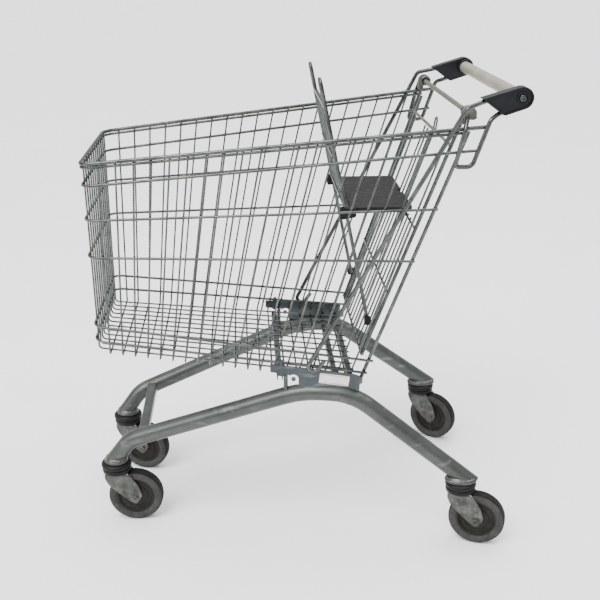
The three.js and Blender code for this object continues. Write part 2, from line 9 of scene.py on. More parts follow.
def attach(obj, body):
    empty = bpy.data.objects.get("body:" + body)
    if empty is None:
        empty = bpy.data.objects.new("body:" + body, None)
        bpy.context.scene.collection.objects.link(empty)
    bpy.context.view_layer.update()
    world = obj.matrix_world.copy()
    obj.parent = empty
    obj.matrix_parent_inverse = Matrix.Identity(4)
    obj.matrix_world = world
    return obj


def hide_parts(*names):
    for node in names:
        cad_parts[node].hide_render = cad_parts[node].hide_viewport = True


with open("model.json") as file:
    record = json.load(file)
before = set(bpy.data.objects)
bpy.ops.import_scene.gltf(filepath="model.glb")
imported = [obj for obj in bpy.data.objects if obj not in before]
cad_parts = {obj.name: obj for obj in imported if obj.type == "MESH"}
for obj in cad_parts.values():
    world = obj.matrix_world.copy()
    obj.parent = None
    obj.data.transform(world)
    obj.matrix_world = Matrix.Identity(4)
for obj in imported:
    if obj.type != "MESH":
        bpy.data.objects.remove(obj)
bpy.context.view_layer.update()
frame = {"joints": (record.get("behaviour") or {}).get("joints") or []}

# A supermarket trolley: a wire basket on a two-tube chassis with four swivel castors, a rear flap
# and a folding child seat. Lengths are in millimetres until a piece is made. x points to the
# rear, y to the pusher's right and z up.

MM = 0.001
JOINTS = {joint["name"]: joint for joint in frame["joints"]}
FLAP_PIVOT_X, FLAP_PIVOT_Z, FLAP_PIVOT_RADIUS = 325.0, 958.0, 5.0
PIVOT_AT = JOINTS["flap_swing"]["pos_m"]
SHIFT = Vector((PIVOT_AT[0] - FLAP_PIVOT_X * MM, PIVOT_AT[1], 0.0))

SIDES = (("left", -1), ("right", 1))
SINK = 0.5                       # how far welded wires run into each other

# Castors: swivel axis and the way each one is parked, in degrees
CASTORS = {
    "front_left": (-412.7, -116.3, -3.5),
    "front_right": (-412.7, 116.3, -16.0),
    "rear_left": (361.0, -241.9, -20.0),
    "rear_right": (361.0, 241.9, -36.0),
}
TRAIL, AXLE_Z = 41.0, 62.5

# Chassis tubes, in x and z, with their bend radii
TUBE_RADIUS = 19.0
TUBE_LINE = [(-427.5, 140), (-377, 208.4), (8, 352), (118, 352), (395, 136.5)]
TUBE_BENDS = [70, 220, 140]
TUBE_CUT = 158.0                 # the tube ends are cut level
REAR_STRETCH = 1.38              # and the cut is longer where the tube lies flatter
FRONT_BAR_X, FRONT_BAR_Z, FRONT_BAR_SIZE = -346.0, 222.0, 22.0
SADDLE_HALF, SADDLE_SPREAD, SADDLE_THICK = 192.6, 0.094, 4.0
SADDLE_BARS = {"front": -38.0, "middle": 84.0, "rear": 118.0}

# Basket
BAYS = 20
FRONT_X = -430.0
LOWER = {"x0": -400.0, "pitch": 27.15, "half": 160.0, "spread": 0.07, "z": 470.5, "slope": -0.123}
UPPER = {"x0": -394.5, "pitch": 36.0, "half": 173.0, "spread": 0.0969, "z": 853.5, "slope": 0.1049}
FLOOR_Z, FLOOR_SLOPE = 438.0, -0.118
WIRE = 4.0
THIN_RING = 5.5
RING_START = -404.0
CORNER_RADIUS = 25.0
RINGS = [                        # height at the front, slope, rear end, diameter
    (853.5, 0.1049, 355.0, 8.0),
    (845.5, 0.1049, 325.0, 6.0),
    (809.0, 0.1045, 345.0, 6.0),
    (738.0, 0.0454, 275.0, 5.5),
    (658.8, 0.0, 236.0, 5.5),
    (504.5, -0.129, 161.0, 5.5),
    (470.5, -0.123, 149.0, 5.5),
]
FRONT_WIRES = 12
FRONT_PITCH = 25.0
UPRIGHT_INSET = (THIN_RING + WIRE) / 2 - SINK
EDGE_X, EDGE_Z, EDGE_LEAN, EDGE_SIZE = 143.0, 401.0, 0.346, 8.0
EDGE_FOOT, EDGE_TOP = 379.0, 921.0

# Flap, handle and child seat
FLAP_X, FLAP_Z, FLAP_LEAN = 137.3, 424.0, 0.346
FLAP_WIRE_PITCH = 29.1
FLAP_BAR_Z = 891.0
HOOK_INNER, HOOK_OUTER, HOOK_RADIUS = 222.0, 236.0, 13.5
GRIP_X, GRIP_Z, GRIP_RADIUS, GRIP_HALF = 420.4, 989.1, 13.0, 225.7
CAP_INNER, CAP_OUTER, CAP_RADIUS = 226.0, 252.0, 21.0
LOOP_WIRE = 9.2
SEAT_PIVOT_X, SEAT_PIVOT_Z, SEAT_PIVOT_HALF = 153.0, 504.0, 150.0
BACK_LEAN, BACK_TOP, BACK_TOP_HALF, BACK_SIZE = -0.2118, 1010.0, 141.0, 8.0
BACK_BARS = (955.0, 850.0, 757.0)
SEAT_HINGE_X, SEAT_HINGE_Z = 116.0, 744.0
SEAT_HALF, SEAT_LENGTH, SEAT_NOTCH_HALF, SEAT_NOTCH = 137.5, 127.0, 14.0, 9.0


# ---------------------------------------------------------------- shapes

class Shape:
    """The vertices and faces of one piece, in millimetres."""

    def __init__(self):
        self.verts = []
        self.faces = []

    def add(self, verts, faces):
        base = len(self.verts)
        self.verts += [Vector(v) for v in verts]
        self.faces += [[base + i for i in face] for face in faces]
        return self

    def place(self, matrix):
        self.verts = [matrix @ v for v in self.verts]
        return self

    def join(self, other):
        return self.add(other.verts, other.faces)


def mix(a, b, share):
    return a + (b - a) * share


def rounded(points, radii):
    """A polyline with its inner corners rounded."""
    points = [Vector(p) for p in points]
    route = [points[0]]
    for i in range(1, len(points) - 1):
        arriving = (points[i] - points[i - 1]).normalized()
        leaving = (points[i + 1] - points[i]).normalized()
        turn = arriving.angle(leaving)
        radius = radii[i - 1] if isinstance(radii, (list, tuple)) else radii
        if turn < 0.01:
            route.append(points[i])
            continue
        centre = points[i] + (leaving - arriving).normalized() * (radius / math.cos(turn / 2))
        start = points[i] - arriving * (radius * math.tan(turn / 2)) - centre
        axis = arriving.cross(leaving).normalized()
        steps = max(3, math.ceil(math.degrees(turn) / 9))
        for step in range(steps + 1):
            route.append(Matrix.Rotation(turn * step / steps, 3, axis) @ start + centre)
    route.append(points[-1])
    return route


def wire(shape, points, size=WIRE, sides=10, radii=None, soft=0.3):
    """A round wire with softened ends; radii may give its radius at every point."""
    points = [Vector(p) for p in points]
    radii = list(radii) if radii else [size / 2] * len(points)
    tangents = []
    for i in range(len(points)):
        before, after = points[max(i - 1, 0)], points[min(i + 1, len(points) - 1)]
        arriving = (points[i] - before).normalized() if i else Vector()
        leaving = (after - points[i]).normalized() if i < len(points) - 1 else Vector()
        tangents.append((arriving + leaving).normalized())
    if soft:
        for end, inwards in ((0, 1), (-1, -1)):
            cut = radii[end] * soft
            stretch = points[end] + tangents[end] * (inwards * cut)
            tip = points[end]
            at = 1 if end == 0 else len(points) - 1
            points.insert(at, stretch)
            tangents.insert(at, tangents[end])
            radii.insert(at, radii[end])
            points[end] = tip
            radii[end] -= cut
    normal = tangents[0].orthogonal().normalized()
    verts = []
    for i, (point, tangent, radius) in enumerate(zip(points, tangents, radii)):
        if i:
            normal = tangents[i - 1].rotation_difference(tangent) @ normal
            normal = (normal - tangent * normal.dot(tangent)).normalized()
        across = tangent.cross(normal)
        for k in range(sides):
            angle = 2 * math.pi * k / sides
            verts.append(point + (normal * math.cos(angle) + across * math.sin(angle)) * radius)
    faces = []
    for i in range(len(points) - 1):
        for k in range(sides):
            a, b = i * sides + k, i * sides + (k + 1) % sides
            faces.append([a, b, b + sides, a + sides])
    faces.append(list(range(sides - 1, -1, -1)))
    faces.append(list(range((len(points) - 1) * sides, len(points) * sides)))
    return shape.add(verts, faces)


def bead(shape, centre, radius, thick, seed=0.0):
    """A rippled weld bead round an upright axis."""
    steps = 72
    points, radii = [], []
    for i in range(steps + 1):
        angle = 2 * math.pi * i / steps
        ripple = 0.5 + 0.5 * math.sin(angle * 19 + seed)
        wander = math.sin(angle * 3 + seed * 2)
        reach = radius + 0.7 * wander
        points.append(Vector(centre) + Vector((math.cos(angle) * reach, math.sin(angle) * reach, wander * 0.6)))
        radii.append(thick * (0.75 + 0.3 * ripple))
    return wire(shape, points, sides=8, radii=radii, soft=0)


def turned(profile, segments=48, axis="z"):
    """A surface turned from radius and height pairs; a profile that leaves the axis out is closed on itself."""
    shape = Shape()
    loops = []
    for radius, height in profile:
        if radius < 1e-6:
            loops.append([len(shape.verts)])
            shape.verts.append(Vector((0, 0, height)))
            continue
        loops.append(list(range(len(shape.verts), len(shape.verts) + segments)))
        for k in range(segments):
            angle = 2 * math.pi * k / segments
            shape.verts.append(Vector((radius * math.cos(angle), radius * math.sin(angle), height)))
    pairs = list(zip(loops, loops[1:]))
    if profile[0][0] > 1e-6 and profile[-1][0] > 1e-6:
        pairs.append((loops[-1], loops[0]))
    for low, high in pairs:
        for k in range(segments):
            n = (k + 1) % segments
            face = [low[k % len(low)], low[n % len(low)], high[n % len(high)], high[k % len(high)]]
            face = [v for i, v in enumerate(face) if v != face[i - 1]]
            if len(face) > 2:
                shape.faces.append(face)
    if axis == "y":
        shape.place(Matrix.Rotation(-math.pi / 2, 4, "X"))
    return shape


def mirrored(profile):
    """A profile above the middle, followed by its mirror image below it."""
    return list(profile) + [(radius, -height) for radius, height in reversed(profile)]


def prism(outline, low, high, axis="y"):
    """A plate with the given outline: in x and z along y, or in x and y along z."""
    shape = Shape()
    count = len(outline)
    for level in (low, high):
        for a, b in outline:
            shape.verts.append(Vector((a, level, b)) if axis == "y" else Vector((a, b, level)))
    shape.faces.append(list(range(count)))
    shape.faces.append(list(range(2 * count - 1, count - 1, -1)))
    for i in range(count):
        n = (i + 1) % count
        shape.faces.append([n, i, i + count, n + count])
    return shape


def rim_band(outline, width, low, high):
    """A raised band that follows the inside of an outline, along y."""
    inner = inset(outline, width)
    shape = Shape()
    count = len(outline)
    for level in (low, high):
        for ring in (outline, inner):
            shape.verts += [Vector((a, level, b)) for a, b in ring]
    for i in range(count):
        n = (i + 1) % count
        for face in ((0, 1), (1, 3), (3, 2), (2, 0)):
            a, b = face[0] * count, face[1] * count
            shape.faces.append([a + i, a + n, b + n, b + i])
    return shape


def inset(outline, width):
    """A closed outline moved inwards."""
    area = sum(a[0] * b[1] - b[0] * a[1] for a, b in zip(outline, outline[1:] + outline[:1]))
    turn = 1 if area > 0 else -1
    moved = []
    for i, here in enumerate(outline):
        before, after = Vector(outline[i - 1]), Vector(outline[(i + 1) % len(outline)])
        here = Vector(here)
        a, b = (here - before).normalized(), (after - here).normalized()
        normal = (Vector((-a.y, a.x)) + Vector((-b.y, b.x))).normalized() * turn
        lean = max(0.4, normal.dot(Vector((-a.y, a.x)) * turn))
        moved.append(tuple(here + normal * (width / lean)))
    return moved


def soft_corners(outline, radius):
    """A closed outline with every corner rounded."""
    count = len(outline)
    result = []
    for i in range(count):
        here = Vector((*outline[i], 0))
        before, after = Vector((*outline[i - 1], 0)), Vector((*outline[(i + 1) % count], 0))
        reach = min((here - before).length, (after - here).length) * 0.45
        a, b = (before - here).normalized(), (after - here).normalized()
        cut = min(radius, reach)
        start, stop = here + a * cut, here + b * cut
        for step in range(4):
            t = step / 3
            point = start * (1 - t) ** 2 + here * (2 * t * (1 - t)) + stop * t ** 2
            result.append((point.x, point.y))
    return result


def arc(x, z, radius, start, stop, steps):
    """Points on a circle, in degrees."""
    angles = [math.radians(mix(start, stop, i / steps)) for i in range(steps + 1)]
    return [(x + radius * math.cos(a), z + radius * math.sin(a)) for a in angles]


def piece(name, shape, material, body, nodes=(), bevel=0.0, crease=38.0):
    """Makes a shown object from a shape and ties it to the frame."""
    mesh = bpy.data.meshes.new(name)
    mesh.from_pydata([v * MM + SHIFT for v in shape.verts], [], shape.faces)
    work = bmesh.new()
    work.from_mesh(mesh)
    bmesh.ops.recalc_face_normals(work, faces=work.faces)
    work.to_mesh(mesh)
    work.free()
    mesh.polygons.foreach_set("use_smooth", [True] * len(mesh.polygons))
    mesh.set_sharp_from_angle(angle=math.radians(crease))
    mesh.materials.append(material)
    obj = bpy.data.objects.new(name, mesh)
    bpy.context.scene.collection.objects.link(obj)
    if bevel:
        edge = obj.modifiers.new("soft_edges", "BEVEL")
        edge.width = bevel * MM
        edge.segments = 3
        edge.limit_method = "ANGLE"
        edge.angle_limit = math.radians(32)
        edge.harden_normals = True
    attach(obj, body)
    if nodes:
        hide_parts(*nodes)
    return obj


# ---------------------------------------------------------------- finishes

def tone(red, green, blue):
    """A display colour from 0 to 255 as scene linear."""
    return tuple(((c / 255 + 0.055) / 1.055) ** 2.4 if c > 10 else c / 3294.6 for c in (red, green, blue)) + (1.0,)


class Finish:
    """A procedural material, built round one Principled shader."""

    def __init__(self, name, **settings):
        self.material = bpy.data.materials.new(name)
        self.material.use_nodes = True
        self.tree = self.material.node_tree
        self.shader = self.tree.nodes["Principled BSDF"]
        for socket, value in settings.items():
            self.shader.inputs[socket.replace("_", " ")].default_value = value
        self.coords = self.tree.nodes.new("ShaderNodeTexCoord").outputs["Object"]
        self.normal = None

    def put(self, socket, value):
        if isinstance(value, bpy.types.NodeSocket):
            self.tree.links.new(value, socket)
        else:
            socket.default_value = value

    def noise(self, scale, detail=4.0, stretch=None, rough=0.55):
        """Noise with a scale per metre, stretched along the axes if asked."""
        node = self.tree.nodes.new("ShaderNodeTexNoise")
        coords = self.coords
        if stretch:
            mapping = self.tree.nodes.new("ShaderNodeMapping")
            mapping.inputs["Scale"].default_value = stretch
            self.put(mapping.inputs["Vector"], coords)
            coords = mapping.outputs["Vector"]
        self.put(node.inputs["Vector"], coords)
        node.inputs["Scale"].default_value = scale
        node.inputs["Detail"].default_value = detail
        node.inputs["Roughness"].default_value = rough
        return node.outputs[0]

    def cells(self, scale):
        node = self.tree.nodes.new("ShaderNodeTexVoronoi")
        self.put(node.inputs["Vector"], self.coords)
        node.inputs["Scale"].default_value = scale
        return node.outputs["Distance"]

    def spread(self, value, low, high, to_low=0.0, to_high=1.0):
        """A value remapped from low..high, and held at the ends."""
        node = self.tree.nodes.new("ShaderNodeMapRange")
        for socket, number in zip(list(node.inputs)[1:5], (low, high, to_low, to_high)):
            socket.default_value = number
        self.put(node.inputs["Value"], value)
        return node.outputs["Result"]

    def height(self, low, high):
        """0 below low and 1 above high, in millimetres above the ground."""
        node = self.tree.nodes.new("ShaderNodeSeparateXYZ")
        self.put(node.inputs[0], self.coords)
        return self.spread(node.outputs["Z"], low * MM, high * MM)

    def maths(self, operation, a, b):
        node = self.tree.nodes.new("ShaderNodeMath")
        node.operation = operation
        node.use_clamp = True
        self.put(node.inputs[0], a)
        self.put(node.inputs[1], b)
        return node.outputs[0]

    def blend(self, share, a, b):
        node = self.tree.nodes.new("ShaderNodeMix")
        node.data_type = "RGBA"
        self.put(node.inputs[0], share)
        self.put(node.inputs[6], a)
        self.put(node.inputs[7], b)
        return node.outputs[2]

    def bump(self, height, depth, strength=1.0):
        """Raises the surface by up to depth millimetres."""
        node = self.tree.nodes.new("ShaderNodeBump")
        node.inputs["Strength"].default_value = strength
        node.inputs["Distance"].default_value = depth * MM
        self.put(node.inputs["Height"], height)
        if self.normal:
            self.put(node.inputs["Normal"], self.normal)
        self.normal = node.outputs["Normal"]

    def done(self, colour, roughness, metallic=None):
        self.put(self.shader.inputs["Base Color"], colour)
        self.put(self.shader.inputs["Roughness"], roughness)
        if metallic is not None:
            self.put(self.shader.inputs["Metallic"], metallic)
        if self.normal:
            self.put(self.shader.inputs["Normal"], self.normal)
        return self.material


RUST_DARK, RUST_LIGHT = tone(44, 30, 22), tone(92, 62, 42)


def rust(finish):
    """Rust as a colour that runs from dark scale to powdery orange."""
    return finish.blend(finish.spread(finish.noise(420, 6), 0.38, 0.64), RUST_DARK, RUST_LIGHT)


def zinc_wire():
    """Bright plated wire with dull patches, handling marks and a little grime."""
    f = Finish("zinc_wire", Metallic=0.94)
    patches = f.spread(f.noise(34, 5), 0.38, 0.66)
    colour = f.blend(patches, tone(92, 95, 91), tone(64, 68, 65))
    grime = f.maths("MULTIPLY", f.spread(f.noise(150, 6), 0.56, 0.72), 0.6)
    colour = f.blend(grime, colour, tone(52, 50, 46))
    roughness = f.spread(f.noise(90, 5), 0.3, 0.7, 0.16, 0.32)
    f.bump(f.noise(900, 3, (1, 1, 0.2)), 0.05, 0.5)
    f.bump(f.noise(160, 3), 0.12, 0.35)
    return f.done(colour, roughness)


def painted(name, body, wear_and_highlight, metal, rust_top, chip=0.66):
    """Metal paint with handling wear, chips, and rust that gathers low down."""
    f = Finish(name, Metallic=metal)
    f.shader.inputs["Coat Weight"].default_value = 0.12
    f.shader.inputs["Coat Roughness"].default_value = 0.3
    colour = f.blend(f.spread(f.noise(16, 5), 0.35, 0.68), body, wear_and_highlight)
    streaks = f.spread(f.noise(60, 5, (0.25, 1, 1)), 0.58, 0.76, 0.0, 0.4)
    colour = f.blend(streaks, colour, tone(150, 154, 155))
    chips = f.spread(f.noise(190, 6), chip, chip + 0.03)
    colour = f.blend(chips, colour, tone(58, 53, 48))
    low = f.maths("SUBTRACT", 1.0, f.height(rust_top - 30, rust_top))
    stains = f.maths("MULTIPLY", low, f.spread(f.noise(130, 6), 0.55, 0.66))
    colour = f.blend(stains, colour, rust(f))
    roughness = f.spread(f.noise(70, 5), 0.3, 0.7, 0.3, 0.5)
    roughness = f.maths("ADD", roughness, f.maths("MULTIPLY", stains, 0.4))
    f.bump(f.noise(520, 3), 0.06, 0.4)
    f.bump(f.maths("SUBTRACT", 1.0, chips), 0.12, 0.6)
    return f.done(colour, roughness)


def zinc_pressing():
    """Dulled plated sheet: pale bloom, a painted highlight along the top edge, and rust round the axle."""
    f = Finish("zinc_pressing", Metallic=0.8)
    colour = f.blend(f.spread(f.noise(45, 6), 0.36, 0.66), tone(92, 93, 89), tone(62, 62, 59))
    bloom = f.spread(f.noise(110, 6), 0.56, 0.72, 0.0, 0.6)
    colour = f.blend(bloom, colour, tone(128, 128, 124))
    near_axle = f.maths("SUBTRACT", 1.0, f.height(56, 92))
    stains = f.maths("MULTIPLY", near_axle, f.spread(f.noise(120, 6), 0.52, 0.68, 0.0, 0.7))
    colour = f.blend(stains, colour, rust(f))
    # Painted highlight: the top edge of each cheek, above 123.6 mm, is lightened towards near white where light
    # catches the fold.
    wear_and_highlight = f.maths("MULTIPLY", f.height(123.6, 125.4), 0.6)
    colour = f.blend(wear_and_highlight, colour, tone(226, 227, 226))
    roughness = f.spread(f.noise(80, 5), 0.3, 0.7, 0.32, 0.58)
    roughness = f.maths("ADD", roughness, f.maths("MULTIPLY", stains, 0.35))
    metallic = f.maths("SUBTRACT", 0.85, f.maths("MULTIPLY", stains, 0.8))
    f.bump(f.noise(600, 4), 0.06, 0.5)
    f.bump(f.noise(90, 4), 0.25, 0.4)
    return f.done(colour, roughness, metallic)


def bare_weld():
    """Weld metal and burnt paint with orange rust."""
    f = Finish("bare_weld", Metallic=0.45)
    colour = f.blend(f.spread(f.noise(150, 6), 0.5, 0.6), tone(110, 108, 102), rust(f))
    colour = f.blend(f.spread(f.noise(70, 5), 0.62, 0.68), colour, tone(176, 176, 172))
    f.bump(f.noise(500, 5), 0.25, 0.7)
    return f.done(colour, f.spread(f.noise(120, 5), 0.3, 0.7, 0.42, 0.8))


def plastic(name, body, wear_and_highlight, gloss, grain=0.06, scale=900.0, dust=0.25):
    """Moulded plastic with fine grain, soft scuffs and a little dust."""
    f = Finish(name)
    f.shader.inputs["Specular IOR Level"].default_value = 0.22
    colour = f.blend(f.spread(f.noise(26, 5), 0.35, 0.7), body, wear_and_highlight)
    scuffs = f.spread(f.noise(110, 6, (1, 0.35, 1)), 0.58, 0.75, 0.0, dust)
    colour = f.blend(scuffs, colour, tone(120, 116, 108))
    f.bump(f.noise(scale, 3), grain, 0.6)
    f.bump(f.noise(60, 3), 0.1, 0.25)
    return f.done(colour, f.spread(f.noise(75, 5), 0.3, 0.7, gloss - 0.07, gloss + 0.12))


def tyre_rubber(name, body, wear_and_highlight):
    """Grey rubber with scuffs, fine pits and picked-up dirt."""
    f = Finish(name)
    f.shader.inputs["Specular IOR Level"].default_value = 0.2
    colour = f.blend(f.spread(f.noise(60, 6), 0.38, 0.64), body, wear_and_highlight)
    dirt = f.spread(f.noise(170, 6), 0.55, 0.7, 0.0, 0.6)
    colour = f.blend(dirt, colour, tone(34, 30, 27))
    pits = f.spread(f.cells(420), 0.0, 0.3)
    f.bump(pits, 0.15, 0.35)
    f.bump(f.noise(240, 5), 0.2, 0.5)
    return f.done(colour, f.spread(f.noise(100, 4), 0.3, 0.7, 0.68, 0.9))


def sticker():
    """Semi-matte printed film, lightly scuffed."""
    f = Finish("sticker")
    colour = f.blend(f.spread(f.noise(90, 5), 0.4, 0.7), tone(232, 229, 223), tone(212, 208, 200))
    f.bump(f.noise(300, 3), 0.03, 0.4)
    return f.done(colour, f.spread(f.noise(80, 4), 0.3, 0.7, 0.35, 0.5))


ZINC = zinc_wire()
SILVER = painted("silver_paint", tone(78, 81, 78), tone(64, 67, 64), 0.75, 165)
SADDLE = painted("saddle_paint", tone(62, 68, 71), tone(50, 55, 58), 0.45, 200, 0.66)
CASTOR_ZINC = zinc_pressing()
WELD = bare_weld()
CAP = plastic("cap_plastic", tone(9, 11, 17), tone(14, 16, 22), 0.34, 0.04, 1200, 0.02)
BLACK = plastic("black_plastic", tone(5, 5, 5), tone(10, 10, 10), 0.46, dust=0.03)
SEAT_FINISH = plastic("seat_plastic", tone(15, 15, 14), tone(21, 21, 20), 0.52, 0.12, 700, 0.03)
HOOK_FINISH = plastic("hook_plastic", tone(96, 93, 84), tone(80, 77, 70), 0.5, 0.06, 800, 0.12)
GRIP_FINISH = plastic("grip_plastic", tone(146, 140, 128), tone(132, 126, 114), 0.36, 0.03, 900, 0.1)
HUB_FINISH = plastic("hub_plastic", tone(22, 20, 18), tone(34, 31, 28), 0.6, 0.08, 600, 0.1)
SIDEWALL = tyre_rubber("tyre_sidewall", tone(60, 60, 58), tone(48, 48, 46))
TREAD = tyre_rubber("tyre_tread", tone(24, 24, 22), tone(18, 17, 16))
LABEL = sticker()
LABEL_LINES = plastic("label_lines", tone(168, 60, 54), tone(150, 56, 50), 0.42)


# ---------------------------------------------------------------- chassis

def tube_half(x):
    return 116.3 + 0.1623 * (x + 412.7)


def level_ends(tube, sides=40):
    """Cuts both ends of a tube level by sliding their points along the tube."""
    verts = tube.verts
    for k in range(sides):
        for tip, inner in ((k, k + sides), (len(verts) - 1 - k, len(verts) - 1 - k - sides)):
            along = verts[tip] - verts[inner]
            verts[tip] = verts[tip] + along * ((TUBE_CUT - verts[tip].z) / along.z)
    return tube


def chassis():
    for label, side in SIDES:
        line = [(x, side * tube_half(x), z) for x, z in TUBE_LINE]
        tube = level_ends(wire(Shape(), rounded(line, TUBE_BENDS), 2 * TUBE_RADIUS, 40, soft=0))
        piece(f"tube_{label}", tube, SILVER, "root", [f"chassis_tube_{label}"], crease=50)
    half = FRONT_BAR_SIZE / 2
    section = soft_corners([(-half, -half), (half, -half), (half, half), (-half, half)], 4.5)
    outline = [(FRONT_BAR_X + a, FRONT_BAR_Z + b) for a, b in section]
    reach = tube_half(FRONT_BAR_X) - 12
    piece("cross_bar", prism(outline, -reach, reach), SILVER, "root", ["front_cross_bar"])
    welds = Shape()
    for _, side in SIDES:
        route = [(a, side * (reach - 5.5 + 1.4 * math.sin(i * 2.1)), b) for i, (a, b) in enumerate(outline)]
        ripples = [1.5 + 0.5 * math.sin(i * 1.7) for i in range(len(outline) + 1)]
        wire(welds, route + route[:1], sides=8, radii=ripples, soft=0)
    piece("cross_bar_welds", welds, SILVER, "root")


def saddle_y(x):
    return SADDLE_HALF + SADDLE_SPREAD * x


def saddle_plate(side):
    """The plate between the chassis tube and the lowest ring, with a folded rear edge."""
    fold = 122.0
    main = [(-59, 401), (-18, 394.5)]
    main += arc(-9, 385, 11, 140, -10, 8)
    main += [(2, 350), (fold, 335), (fold, 399), (40, 409), (-59, 420)]
    plate = prism(main, -SADDLE_THICK / 2, SADDLE_THICK / 2)
    flange = prism([(0, 335), (11, 345), (13, 392), (12, 396), (0, 399)], -SADDLE_THICK / 2, SADDLE_THICK / 2)
    flange.place(Matrix.Translation((fold, 0, 0)) @ Matrix.Rotation(side * math.radians(16), 4, "Z"))
    plate.join(flange)
    turn = Matrix.Rotation(side * math.atan(SADDLE_SPREAD), 4, "Z")
    return plate.place(Matrix.Translation((0, side * SADDLE_HALF, 0)) @ turn)


def bolt_head(radius, height, socket):
    """A domed head with a round-bottomed socket, standing on z = 0."""
    return turned([
        (0, height - 2.2), (socket * 0.9, height - 2.1), (socket, height - 0.2), (socket + 0.5, height),
        (radius * 0.72, height * 0.97), (radius * 0.94, height * 0.7), (radius, height * 0.35), (radius, 0), (0, 0),
    ], 36)


def facing(x, y, z, side):
    """Turns a piece made along z to face outwards along y."""
    return Matrix.Translation((x, y, z)) @ Matrix.Rotation(-side * math.pi / 2, 4, "X")


def saddle():
    for label, side in SIDES:
        piece(f"saddle_{label}", saddle_plate(side), SADDLE, "root",
              [f"saddle_plate_{label}"], bevel=0.9)
        fittings = Shape()
        outer = side * (saddle_y(-10) + SADDLE_THICK / 2)
        fittings.join(bolt_head(5.2, 3.2, 2.2).place(facing(-9, outer - side * 2.5, 385, side)))
        wire(fittings, [(-25.5, side * 185.5, 352), (-25.5, side * 185.5, 396)], 9.5, 20)
        piece(f"saddle_fittings_{label}", fittings, SADDLE, "root")
        y = side * (saddle_y(-35) + SADDLE_THICK / 2 + 1.2)
        strap = prism(soft_corners([(-41, 394), (-30, 392), (-29, 416), (-41, 417.5)], 2), -1.3, 1.3)
        strap.place(Matrix.Translation((0, y, 0)))
        wire(strap, rounded([(-35, y, 414), (-35, y, 423.5), (-35, y - side * 9, 424)], 3.5), 9.5, 16)
        piece(f"ring_clamp_{label}", strap, SADDLE, "root", bevel=0.7)
    for name, x in SADDLE_BARS.items():
        top = floor_height(x) - WIRE / 2 - 1.0
        half = SADDLE_HALF + SADDLE_SPREAD * (x - 7) - 2.2
        outline = [(-6.5, 0), (-6.5, -12), (-4, -12), (-4, -2.5), (4, -2.5), (4, -12), (6.5, -12), (6.5, 0)]
        bar = prism([(x + a, top + b) for a, b in outline], -half, half)
        piece(f"cradle_{name}", bar, SADDLE, "root", [f"saddle_bar_{name}"], bevel=1.0)
    blank_label()


def blank_label():
    centre = Vector((78, -saddle_y(78) - SADDLE_THICK / 2 - 0.3, 386))
    turn = Matrix.Rotation(-math.atan(SADDLE_SPREAD), 4, "Z") @ Matrix.Rotation(math.radians(6.5), 4, "Y")
    place = Matrix.Translation(centre) @ turn
    film = prism(soft_corners([(-32, -11.5), (32, -11.5), (32, 11.5), (-32, 11.5)], 2), -0.3, 0.3)
    piece("label", film.place(place), LABEL, "root", ["blank_label"])
    lines = Shape()
    for z in (-9.2, 9.2):
        lines.join(prism([(-29, z - 0.5), (29, z - 0.5), (29, z + 0.5), (-29, z + 0.5)], -0.38, -0.28))
    piece("label_border", lines.place(place), LABEL_LINES, "root")


# ---------------------------------------------------------------- basket

def line_z(line, x):
    return line["z"] + line["slope"] * (x - FRONT_X)


def floor_height(x):
    return FLOOR_Z + FLOOR_SLOPE * (x - LOWER["x0"])


def wall_end(line, bay):
    x = line["x0"] + line["pitch"] * bay
    return Vector((x, line["half"] + line["spread"] * (x + 428), line_z(line, x)))


def wall_half(x, z):
    """The side wall's half width: the wall is ruled by its upright wires."""
    share = 0.5
    bay = 0.0
    for _ in range(12):
        start = mix(LOWER["x0"], UPPER["x0"], share)
        bay = (x - start) / mix(LOWER["pitch"], UPPER["pitch"], share)
        low = wall_end(LOWER, bay).z
        share = (z - low) / (wall_end(UPPER, bay).z - low)
    return mix(wall_end(LOWER, bay).y, wall_end(UPPER, bay).y, share)


def ring_route(ring):
    """From the left rear end, round the front, to the right rear end."""
    z0, slope, rear, size = ring
    shift = (size - THIN_RING) / 2
    stations = [mix(rear, RING_START, i / 6) for i in range(7)]
    side = [(x, wall_half(x, z0 + slope * (x - FRONT_X)) + shift, z0 + slope * (x - FRONT_X)) for x in stations]
    half = wall_half(FRONT_X, z0) + shift
    right = side + [(FRONT_X, half, z0)]
    left = [(x, -y, z) for x, y, z in right]
    bends = [400.0] * (len(side) - 1) + [CORNER_RADIUS]
    return rounded(left + right[::-1], bends + bends[::-1])


def cross_wire(bay):
    """One U-shaped wire: down one side, under the floor and up the other side."""
    low, high = wall_end(LOWER, bay), wall_end(UPPER, bay)
    foot = low.lerp(high, (floor_height(low.x) - low.z) / (high.z - low.z))
    top = low.lerp(high, 1.002)
    right = [(top.x, top.y - UPRIGHT_INSET, top.z), (foot.x, foot.y - UPRIGHT_INSET, foot.z)]
    left = [(x, -y, z) for x, y, z in right]
    return rounded(left + right[::-1], 6.0)


def lengthwise_wire(index):
    """One L-shaped wire: down the front and back along the floor."""
    across = FRONT_PITCH * (index - (FRONT_WIRES - 1) / 2)
    rise = WIRE - SINK
    front = FRONT_X + UPRIGHT_INSET
    last = LOWER["x0"] + LOWER["pitch"] * (BAYS - 1) + 12
    return rounded([
        (front, across * 1.09, RINGS[0][0] + 2), (front, across, floor_height(front) + rise),
        (last, across * 1.24, floor_height(last) + rise),
    ], 9)


